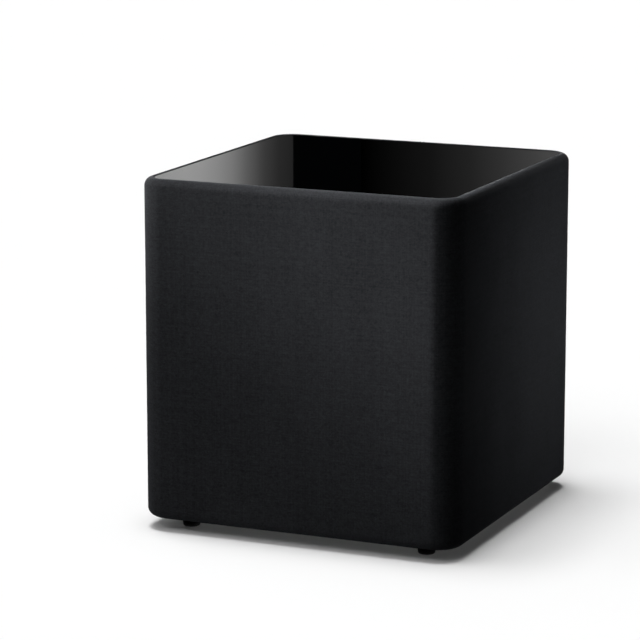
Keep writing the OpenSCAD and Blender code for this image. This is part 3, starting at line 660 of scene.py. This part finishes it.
def fabric_offset(inset, z, along, corner_turn, is_rear, x):
    """How far the cloth stands off its smooth shape: tension, gathers at corners and the rear seam."""
    tension = 0.1 * MM * noise.noise(Vector((along * 14, z * 11, 0.3)))
    edge_share = max(0.0, min(1.0, (inset - 2 * MM) / (5 * MM)))
    gathers = 0.0
    if corner_turn:
        bell = sin(pi * corner_turn) ** 0.6
        wave = (1 - cos(tau * corner_turn * GATHERS)) / 2
        gathers = -GATHER_DEPTH * edge_share * bell * wave
    seam = 0.0
    if is_rear and abs(x) < SEAM_WIDTH:
        groove = exp(-(x / (0.55 * MM)) ** 2)
        welt = exp(-((abs(x) - 1.9 * MM) / (0.9 * MM)) ** 2)
        seam = (0.22 * welt - 0.5 * groove) * MM
    return tension * (1 - edge_share) + gathers + seam


def fabric_sleeve():
    """The stretched cloth as one open sheet with an opening for the amplifier, thickened by a modifier."""
    seam_stops = [d * MM for d in (0.35, 0.7, 1.1, 1.5, 1.9, 2.4, 3.0, 3.8, 5.0)]
    stations = body_outline(5 * MM, 26, [*seam_stops, CUT_X])
    section = sleeve_section()
    columns = len(stations) - 1
    rows = len(section)
    points = []
    for x, y, nx, ny, along in stations[:-1]:
        diagonal = abs(nx) > 1e-6 and abs(ny) > 1e-6
        turn = (degrees(atan2(ny, nx)) % 90) / 90 if diagonal else 0.0
        for inset, z, n_in, n_up, _ in section:
            off = fabric_offset(inset, z, along, turn, ny > 0.999, x)
            out = off * -n_in - inset
            points.append((x + nx * out, y + ny * out, z + off * n_up))
    faces, pattern = [], []
    for i in range(columns):
        j = (i + 1) % columns
        here, there = stations[i], stations[i + 1]
        on_rear = here[3] > 0.999 and there[3] > 0.999
        in_cut = on_rear and abs(here[0] + there[0]) / 2 < CUT_X
        past = stations[-1][4] if i > columns / 2 else 0.0  # the pattern is cut open at the front's middle
        u0, u1 = here[4] - past, there[4] - past
        for k in range(rows - 1):
            upper, lower = section[k], section[k + 1]
            if in_cut and abs((upper[1] + lower[1]) / 2 - Z_MID) < CUT_Z and upper[0] == 0.0:
                continue
            faces.append((i * rows + k, i * rows + k + 1, j * rows + k + 1, j * rows + k))
            v0, v1 = upper[4], lower[4]
            pattern += [(u0, v0), (u0, v1), (u1, v1), (u1, v0)]
    made = make_piece("fabric_wrap", points, faces, materials["acoustic_fabric"], pattern, 60)
    thick = made.modifiers.new("thickness", "SOLIDIFY")
    thick.thickness = FABRIC_T
    thick.offset = -1.0
    thick.use_even_offset = True
    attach(made, "cabinet")
    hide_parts("fabric_sleeve")


fabric_sleeve()


# ---- gloss top ----

def gloss_top():
    """The inset top panel with polished, slightly rounded rims."""
    low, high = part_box("top_gloss_panel")
    inset = HALF_X - high.x
    rim = 0.7 * MM
    stations = body_outline(20 * MM, 20)[:-1]
    section = [(rim, low.z), (rim * 0.3, low.z + rim * 0.3), (0, low.z + rim)]
    section += [(rim - rim * cos(turn), high.z - rim + rim * sin(turn))
                for turn in np.radians(np.linspace(0, 90, 7))]
    points = [(x - nx * (inset + s), y - ny * (inset + s), z)
              for s, z in section for x, y, nx, ny, _ in stations]
    faces = tube_faces(len(section), len(stations))
    made = make_piece("gloss_top", points, faces, materials["gloss_acrylic"])
    for polygon in list(made.data.polygons)[-2:]:
        polygon.use_smooth = False
    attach(made, "cabinet")
    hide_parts("top_gloss_panel")


gloss_top()


# ---- knobs ----

def knob(node, material):
    """A fluted knob with a dished face, a pointer line and its spindle."""
    low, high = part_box(node)
    hub = Vector(((low.x + high.x) / 2, 0, (low.z + high.z) / 2))
    radius = (high.x - low.x) / 2
    base = PLATE_Y + 1 * MM
    face = high.y
    ribs, per_rib = 24, 8
    flute = 0.45 * MM
    spindle = 2.95 * MM
    tip = 0.3 * MM
    section = [(0, low.y, 0), (spindle - tip, low.y, 0), (spindle, low.y + tip, 0), (spindle, base, 0)]
    for inset, rise, fluted in ((0.6, 0, 0), (0.15, 0.15, 0), (0, 0.6, 0), (0, 1.4, 0), (0, 1.8, 1)):
        section.append((radius - inset * MM, base + rise * MM, fluted))
    for inset, drop, fluted in ((0, 1.6, 1), (0.2, 1, 1), (0.65, 0.4, 0.5), (1.3, 0.06, 0),
                                (1.9, 0, 0), (2.5, 0.1, 0), (3.4, 0.45, 0)):
        section.append((radius - inset * MM, face - drop * MM, fluted))
    section += [(radius * 0.4, face - 0.6 * MM, 0), (0, face - 0.65 * MM, 0)]
    count = ribs * per_rib
    points, local, rings = [], [], []
    for r, y, fluted in section:
        ring = []
        for k in range(1 if r == 0 else count):
            turn = tau * k / count
            dip = max(0.0, cos(ribs * (turn - pi / ribs))) ** 1.5 * flute * fluted
            side, up = (r - dip) * sin(turn), (r - dip) * cos(turn)
            ring.append(len(points))
            points.append((hub.x + side, y, hub.z + up))
            local.append((side, up if y > base + 2 * MM else -1.0))
        rings.append(ring)
    faces = []
    for a, b in zip(rings, rings[1:]):
        for k in range(count):
            m = (k + 1) % count
            quad = (a[k % len(a)], a[m % len(a)], b[m % len(b)], b[k % len(b)])
            faces.append(tuple(dict.fromkeys(quad)))
    pattern = [local[i] for face_points in faces for i in face_points]
    made = make_piece(node + "_cap", points, faces, material, pattern, 35)
    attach(made, node)
    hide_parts(node)


knob_finish = pointed_knob()
knob("volume_knob", knob_finish)
knob("crossover_knob", knob_finish)


# ---- driver's soft parts ----

def driver_ring(name, section, node):
    """A closed section of (radius, forward) turned once round the driver's axis."""
    count = 160
    points = []
    for k in range(count):
        turn = tau * k / count
        points += [on_driver(r * sin(turn), r * cos(turn), forward) for r, forward in section]
    size = len(section)
    faces = []
    for k in range(count):
        here, there = k * size, (k + 1) % count * size
        faces += [(here + a, here + (a + 1) % size, there + (a + 1) % size, there + a) for a in range(size)]
    made = make_piece(name, points, faces, materials[slot_of[node]], smooth_angle=50)
    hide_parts(node)
    return made


def bend_with_cone(piece, fixed_at, moving_at, distance):
    """Bakes the piece's placement into its mesh and works out how far each point lies from the cabinet
    towards the cone, without keeping it; distance tells a point's place between the two.
    """
    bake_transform(piece)
    for vertex in piece.data.vertices:
        t = max(0.0, min(1.0, (distance(vertex.co) - fixed_at) / (moving_at - fixed_at)))


def from_axis(point):
    return hypot(point.x, point.z - DRIVER_Z)


def surround_roll():
    """The rubber half roll between basket and cone, thicker at its glued lips."""
    low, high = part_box("surround")
    outer = (high.x - low.x) / 2
    seat = BAFFLE_Y - high.y
    roll, lip, wall = 7 * MM, 7 * MM, 1 * MM
    middle_r = outer - lip - roll
    turns = np.radians(np.linspace(0, 180, 33))
    over = [(middle_r + roll * cos(a), seat + roll * sin(a)) for a in turns]
    thin = 0.15 * MM
    under = []
    for a in turns[::-1]:
        inside = roll - wall + thin * sin(a)
        under.append((middle_r + inside * cos(a), seat + inside * sin(a)))
    step, back = 0.3 * MM, seat + wall
    section = [(outer - step, seat), (outer, seat + step), (outer, back - step), (outer - step, back)]
    section += [(middle_r + roll + 0.25 * MM, back)]
    section += [point for point in over if point[1] > seat + wall * 1.1]
    section += [(middle_r - roll - 0.25 * MM, back)]
    inner = middle_r - roll - lip
    section += [(inner + step, back), (inner, back - step), (inner, seat + step), (inner + step, seat)]
    section += under
    made = driver_ring("surround_roll", section, "surround")
    bend_with_cone(made, middle_r + roll, middle_r - roll, from_axis)


def spider_disc():
    """The pressed cloth disc with its waves, which centres the voice coil."""
    low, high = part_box("spider")
    outer = (high.x - low.x) / 2
    height, wall, waves = 2 * MM, 0.7 * MM, 5
    inner, first, last = 25.3 * MM, 28.3 * MM, 69 * MM
    seat = BAFFLE_Y - high.y + height
    steps = 80
    wave = [(first + (last - first) * k / steps, seat + height * sin(tau * waves * k / steps))
            for k in range(steps + 1)]
    front = [(inner, seat)] + wave + [(outer, seat)]
    back = [(r, z + wall) for r, z in reversed(front)]
    made = driver_ring("spider_disc", front + back, "spider")
    bend_with_cone(made, last, first, from_axis)


def tube(path, radius, sides, lobes=0, lobe_depth=0.0, turns_per_m=0.0):
    """Points and faces of a closed tube along path; lobes twist round it like strands."""
    points = []
    gone = 0.0
    up = Vector((1, 0, 0))
    for i, spot in enumerate(path):
        ahead = (path[min(i + 1, len(path) - 1)] - path[max(i - 1, 0)]).normalized()
        side = up.cross(ahead).normalized()
        up = ahead.cross(side).normalized()
        gone += (spot - path[max(i - 1, 0)]).length
        twist = gone * turns_per_m * tau
        for k in range(sides):
            turn = tau * k / sides
            r = radius * (1 - lobe_depth * (1 - cos(lobes * (turn - twist))) / 2)
            points.append(spot + side * (r * cos(turn)) + up * (r * sin(turn)))
    return points, tube_faces(len(path), sides)


def joined(parts):
    """One list of points and faces from several."""
    points, faces = [], []
    for part_points, part_faces in parts:
        start = len(points)
        points += part_points
        faces += [tuple(index + start for index in face) for face in part_faces]
    return points, faces


LEAD_SPACING = 8 * MM


def tinsel_braids():
    """Two braided leads that arch from the coil former to the terminals."""
    near, far, arch = 26.2 * MM, 84 * MM, 45 * MM
    half = asin((far - near) / 2 / arch)
    end_forward = -54.3 * MM
    hub_up, hub_forward = (near + far) / 2, end_forward - arch * cos(half)
    parts = []
    for side in (-1, 1):
        angles = np.linspace(pi / 2 + half, pi / 2 - half, 90)
        path = [on_driver(side * LEAD_SPACING, hub_up + arch * cos(a), hub_forward + arch * sin(a))
                for a in angles]
        parts.append(tube(path, 0.9 * MM, 15, lobes=5, lobe_depth=0.22, turns_per_m=45))
    made = make_piece("tinsel_braids", *joined(parts), materials["tinned_braid"], smooth_angle=70)
    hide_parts("tinsel_leads")
    bend_with_cone(made, far, near, lambda point: point.z - DRIVER_Z)


def smooth_route(knots, per_span):
    """A smooth curve through the knots, as many points to each span."""
    ends = [knots[0] * 2 - knots[1], *knots, knots[-1] * 2 - knots[-2]]
    path = []
    for a, b, c, d in zip(ends, ends[1:], ends[2:], ends[3:]):
        for k in range(per_span):
            t = k / per_span
            path.append((b * 2 + (c - a) * t + (a * 2 - b * 5 + c * 4 - d) * t * t
                         + (b * 3 - a - c * 3 + d) * t * t * t) / 2)
    return [*path, knots[-1]]


def receptacle(top):
    """A flat insulated push-on sleeve, open below for the blade and narrowing to the wire above."""
    rings = [  # half width, half thickness, height from the blade's top
        (1.5, 1.5, 2.5), (2.2, 1.35, 2.0), (3.0, 1.2, 0.9), (3.2, 1.2, 0.3), (3.2, 1.2, -6.2),
        (3.05, 1.05, -6.5), (2.75, 0.75, -6.5), (2.6, 0.6, -6.2), (2.6, 0.6, 0.1), (1.0, 0.3, 0.2),
    ]
    count, squareness = 24, 0.35
    points = []
    for half_w, half_t, z in rings:
        for k in range(count):
            c, s = cos(tau * k / count), sin(tau * k / count)
            side = copysign(abs(c) ** squareness, c) * half_w
            out = copysign(abs(s) ** squareness, s) * half_t
            points.append(top + Vector((side * MM, out * MM, z * MM)))
    return points, tube_faces(len(rings), count)


def speaker_wires():
    """The pair of wires from the driver's terminals to the amplifier, over the window brace."""
    start, end = Vector((0, -99.4, 290.5)), Vector((0, 100.5, 252.5))  # in mm, as are the steps from them
    from_start = [(0, 2.5), (0, 8), (2, 12), (8, 15), (18, 15), (34, 13), (52, 8), (70, 0), (88, -10),
                  (106, -20), (124, -28), (142, -33)]
    to_end = [(-40, 1), (-20, 0), (0, 0)]
    knots = [start + Vector((0, y, z)) for y, z in from_start] + [end + Vector((0, y, z)) for y, z in to_end]
    parts = []
    for side in (-1, 1):
        over = Vector((side * LEAD_SPACING, 0, 0))
        path = smooth_route([knot * MM + over for knot in knots], 6)
        parts.append(tube(path, 1.5 * MM, 20))
        parts.append(receptacle(start * MM + over))
    made = make_piece("speaker_wires", *joined(parts), materials["lead_insulation"], smooth_angle=50)
    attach(made, "cabinet")
    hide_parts("speaker_leads")


def wadding_pads():
    """Batting glued to both side panels: flat on the wood, lofted and dimpled on the inside."""
    low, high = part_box("wadding")
    thickness = 20 * MM
    hub, half = (low + high) / 2, (high - low) / 2
    wide, tall = 46, 84
    parts = []
    for side in (-1, 1):
        points, faces = [], []
        for lofted in (True, False):
            for i in range(wide + 1):
                for k in range(tall + 1):
                    p = sin((2 * i / wide - 1) * pi / 2)
                    q = sin((2 * k / tall - 1) * pi / 2)
                    pull = 1 - 0.012 * (abs(p) * abs(q)) ** 2
                    y = hub.y + p * half.y * pull
                    z = hub.z + q * half.z * pull
                    crown = (1 - abs(p) ** 7) ** 0.4 * (1 - abs(q) ** 11) ** 0.4
                    lumps = noise.noise(Vector((side * 9, y * 38, z * 38))) * 0.13
                    lumps += noise.noise(Vector((side * 5, y * 120, z * 120))) * 0.05
                    full = min(0.985, 0.83 + lumps)
                    thick = thickness * (0.12 + (full - 0.12) * crown) if lofted else 0.0
                    points.append(Vector((side * (high.x - thick), y, z)))
        size = (wide + 1) * (tall + 1)
        for i in range(wide):
            for k in range(tall):
                a = i * (tall + 1) + k
                quad = (a, a + 1, a + tall + 2, a + tall + 1)
                faces.append(quad)
                faces.append(tuple(size + index for index in reversed(quad)))
        rim = [i * (tall + 1) for i in range(wide + 1)]
        rim += [wide * (tall + 1) + k for k in range(1, tall + 1)]
        rim += [i * (tall + 1) + tall for i in range(wide - 1, -1, -1)]
        rim += list(range(tall - 1, 0, -1))
        faces += [(a, b, b + size, a + size) for a, b in zip(rim, rim[1:] + rim[:1])]
        parts.append((points, faces))
    made = make_piece("wadding_pads", *joined(parts), materials["polyester_wadding"], smooth_angle=80)
    shape = bmesh.new()
    shape.from_mesh(made.data)
    bmesh.ops.recalc_face_normals(shape, faces=shape.faces)
    shape.to_mesh(made.data)
    shape.free()
    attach(made, "cabinet")
    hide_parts("wadding")


surround_roll()
spider_disc()
tinsel_braids()
speaker_wires()
wadding_pads()


# ---- camera ----

EYE = Vector((1.2122, -2.8961, 0.8533))
YAW, PITCH = radians(23.49), radians(11.79)
AHEAD = Vector((-sin(YAW), cos(YAW), 0))


def photo_camera():
    """The long lens of the product photograph, from the right front and above."""
    data = bpy.data.cameras.new("camera")
    data.lens = 174.6
    data.sensor_width = 36
    data.clip_end = 60
    made = bpy.data.objects.new("camera", data)
    made.location = EYE
    gaze = AHEAD * cos(PITCH) - Vector((0, 0, sin(PITCH)))
    made.rotation_euler = gaze.to_track_quat("-Z", "Y").to_euler()
    bpy.context.scene.collection.objects.link(made)
    bpy.context.scene.camera = made


photo_camera()


# ---- studio ----

def towards(azimuth, elevation):
    """Unit vector from the object; azimuth 0 is its front and 90 its right side, in degrees."""
    turn, rise = radians(azimuth), radians(elevation)
    return Vector((sin(turn) * cos(rise), -cos(turn) * cos(rise), sin(rise)))


def lamp(name, kind, place, target, energy, **settings):
    """A light at place that points at target."""
    data = bpy.data.lights.new(name, kind)
    data.energy = energy
    for setting, value in settings.items():
        setattr(data, setting, value)
    made = bpy.data.objects.new(name, data)
    made.location = place
    made.rotation_euler = (Vector(target) - Vector(place)).to_track_quat("-Z", "Y").to_euler()
    bpy.context.scene.collection.objects.link(made)
    return made


def light_only(lights, objects, name):
    """These lights reach only these objects, though everything still casts their shadows."""
    group = bpy.data.collections.new(name)
    for o in objects:
        group.objects.link(o)
    for light in lights:
        light.light_linking.receiver_collection = group


def hide_from(made, *rays):
    for ray in rays:
        setattr(made, "visible_" + ray, False)


def floor():
    """A wide pale floor that hides nothing from below."""
    half = 14.0
    corners = [(-half, -half, 0), (half, -half, 0), (half, half, 0), (-half, half, 0)]
    pale = (0.85, 0.85, 0.85, 1.0)
    graph = Graph("floor", {"Base Color": pale, "Roughness": 0.9, "Specular IOR Level": 0.0})
    backs = graph.add("NewGeometry").outputs["Backfacing"]
    clear = graph.add("BsdfTransparent")
    mixed = graph.add("MixShader", {0: backs, 1: graph.shader.outputs[0], 2: clear.outputs[0]})
    graph.feed(graph.tree.nodes["Material Output"].inputs["Surface"], mixed.outputs[0])
    made = make_piece("floor", corners, [(0, 1, 2, 3)], graph.material)
    hide_from(made, "diffuse", "glossy", "shadow")
    made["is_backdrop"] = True
    return made


def card(name, place, facing, height, levels):
    """An upright glowing card that only reflections see; levels are (metres across, brightness)."""
    graph = Graph(name)
    across = graph.parts(graph.add("TexCoord").outputs["Generated"])[0]
    ramp = graph.add("ValToRGB", {"Fac": across})
    glow = graph.add("Emission", {"Color": ramp.outputs["Color"]})
    graph.feed(graph.tree.nodes["Material Output"].inputs["Surface"], glow.outputs[0])
    stops = ramp.color_ramp.elements
    left, right = levels[0][0], levels[-1][0]
    while len(stops) < len(levels):
        stops.new(0.5)
    for stop, (spot, level) in zip(stops, levels):
        stop.position = (spot - left) / (right - left)
        stop.color = (level, level, level, 1)
    lean = 0.001
    corners = [(left, 0, 0), (right, 0, 0), (right, lean, height), (left, lean, height)]
    made = make_piece(name, corners, [(0, 1, 2, 3)], graph.material)
    made.location = place
    made.rotation_euler = (0, 0, facing)
    hide_from(made, "camera", "diffuse", "shadow", "transmission")
    made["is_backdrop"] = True
    return made


FLOOR_LIGHTS = (  # azimuth, elevation and width of a far light in degrees, and its strength
    (0, 90, 10, 1.14), (0, 90, 35, 0.40), (-90, 80, 20, 1.20), (-60, 40, 40, 0.40), (-120, 60, 40, 0.17),
    (0, 50, 30, 0.58),
)
FLOOR_LIFT = 0.14  # light that no shadow takes away
LEFT_CARD = (  # metres across from the middle of the view, and brightness; its right edge is hard
    (-2.4, 0.30), (-0.60, 0.60), (-0.36, 0.66), (-0.296, 0.69), (-0.262, 0.71), (-0.232, 0.66),
    (-0.202, 0.56), (-0.172, 0.42), (-0.142, 0.23), (-0.112, 0.10), (-0.082, 0.05), (-0.0525, 0.035),
)
SIDE_CARD = ((-2.6, 0.0), (-1.2, 0.10), (0.0, 0.34), (0.9, 0.22), (1.6, 0.05), (2.6, 0.0))
RIGHT_CARD = (
    (0.08, 0.0), (0.158, 0.008), (0.217, 0.015), (0.296, 0.036), (0.355, 0.066), (0.415, 0.108),
    (0.46, 0.15), (1.4, 0.30),
)


def soft_world():
    """White behind the object for the camera, and near dark for everything else."""
    world = bpy.data.worlds.new("studio")
    bpy.context.scene.world = world
    world.use_nodes = True
    tree = world.node_tree
    white = tree.nodes["Background"]
    white.inputs["Color"].default_value = (1, 1, 1, 1)
    dark = tree.nodes.new("ShaderNodeBackground")
    dark.inputs["Color"].default_value = (0.5, 0.6, 0.7, 1)
    dark.inputs["Strength"].default_value = 0.003
    rays = tree.nodes.new("ShaderNodeLightPath")
    mixed = tree.nodes.new("ShaderNodeMixShader")
    sources = (rays.outputs["Is Camera Ray"], dark.outputs[0], white.outputs[0])
    for source, socket in zip(sources, mixed.inputs):
        tree.links.new(source, socket)
    tree.links.new(mixed.outputs[0], tree.nodes["World Output"].inputs["Surface"])


SPOTS = (  # name, azimuth, elevation, point aimed at, cone in degrees, watts
    ("front_wash", -35, 20, (0.0, -HALF_Y, 0.2), 20, 46),
    ("upper_right_near", -55, 20, (0.15, -HALF_Y, 0.34), 7, 181),
    ("upper_right_side", -78, 20, (0.145, -HALF_Y, 0.34), 7, 520),
    ("upper_right_high", -75, 45, (0.15, -HALF_Y, 0.34), 7, 696),
    ("lower_left", -55, 20, (-0.14, -HALF_Y, 0.03), 7, 152),
    ("right_rear", 85, 12, (HALF_X, 0.15, 0.235), 9, 128),
    ("right_wash", 85, 20, (HALF_X, 0.12, 0.18), 15, 53),
)
BOXES = (  # name, place, point aimed at, watts, side in metres
    ("front_box", towards(-20, 30) * 3, (0, 0, 0.18), 1.9, 1.0),
    ("under_rim", (0.0, 0.3, -1.3), (0, 0, 0), 0.7, 1.0),
    ("left_fill", (-2.0, 0.6, 0.9), (0, 0, Z_MID), 7, 1.0),
    ("rear_left", (-1.1, 1.9, 0.75), (-0.1, 0, 0.3), 30, 0.7),
    ("rear_high", (-0.1, 2.3, 1.0), (0, 0, Z_MID), 4, 0.3),
    ("top_box", (0.0, 0.1, 1.9), (0, 0, 0.36), 1.0, 0.6),
)


def studio():
    """White sweep, soft lights on the object, and cards behind it for the gloss top to mirror."""
    bpy.context.scene.view_settings.view_transform = "Standard"
    soft_world()
    ground = floor()
    floor_lights = [
        lamp(f"floor_light_{k}", "SUN", towards(azimuth, elevation) * 4, (0, 0, 0), strength,
             angle=radians(width))
        for k, (azimuth, elevation, width, strength) in enumerate(FLOOR_LIGHTS)
    ]
    floor_lights.append(lamp("floor_lift", "SUN", (0, 0, 4), (0, 0, 0), FLOOR_LIFT, use_shadow=False))
    light_only(floor_lights, [ground], "floor_receivers")

    spots = [
        lamp(name, "SPOT", Vector(target) + towards(azimuth, elevation) * 2.6, target, watts,
             spot_size=radians(cone), spot_blend=1.0, shadow_soft_size=0.2)
        for name, azimuth, elevation, target, cone, watts in SPOTS
    ]
    boxes = [lamp(name, "AREA", place, aim, watts, size=side) for name, place, aim, watts, side in BOXES]
    light_only(spots + boxes, [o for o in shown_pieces() if o.name != "gloss_top"], "all_but_gloss")
    below = lamp("under_fill", "AREA", (0.0, 0.3, -1.3), (0, 0, 0), 6, size=1.0)
    light_only([below], [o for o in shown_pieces() if o.name != "fabric_wrap"], "all_but_fabric")

    wall = Vector((EYE.x, EYE.y, 0)) + AHEAD * 6.0
    card("left_card", wall, YAW, 2.2, LEFT_CARD)
    card("right_card", wall, YAW, 2.2, RIGHT_CARD)
    others = [
        card(f"side_card_{azimuth}", towards(azimuth, 0) * 5.0, radians(azimuth), 4.0, SIDE_CARD)
        for azimuth in (20, 80, -70)
    ]
    shiny = ("gloss_top", "amp_plate", "amp_bezel")
    light_only(others, [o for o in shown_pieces() if o.name in shiny], "shiny_faces")


studio()
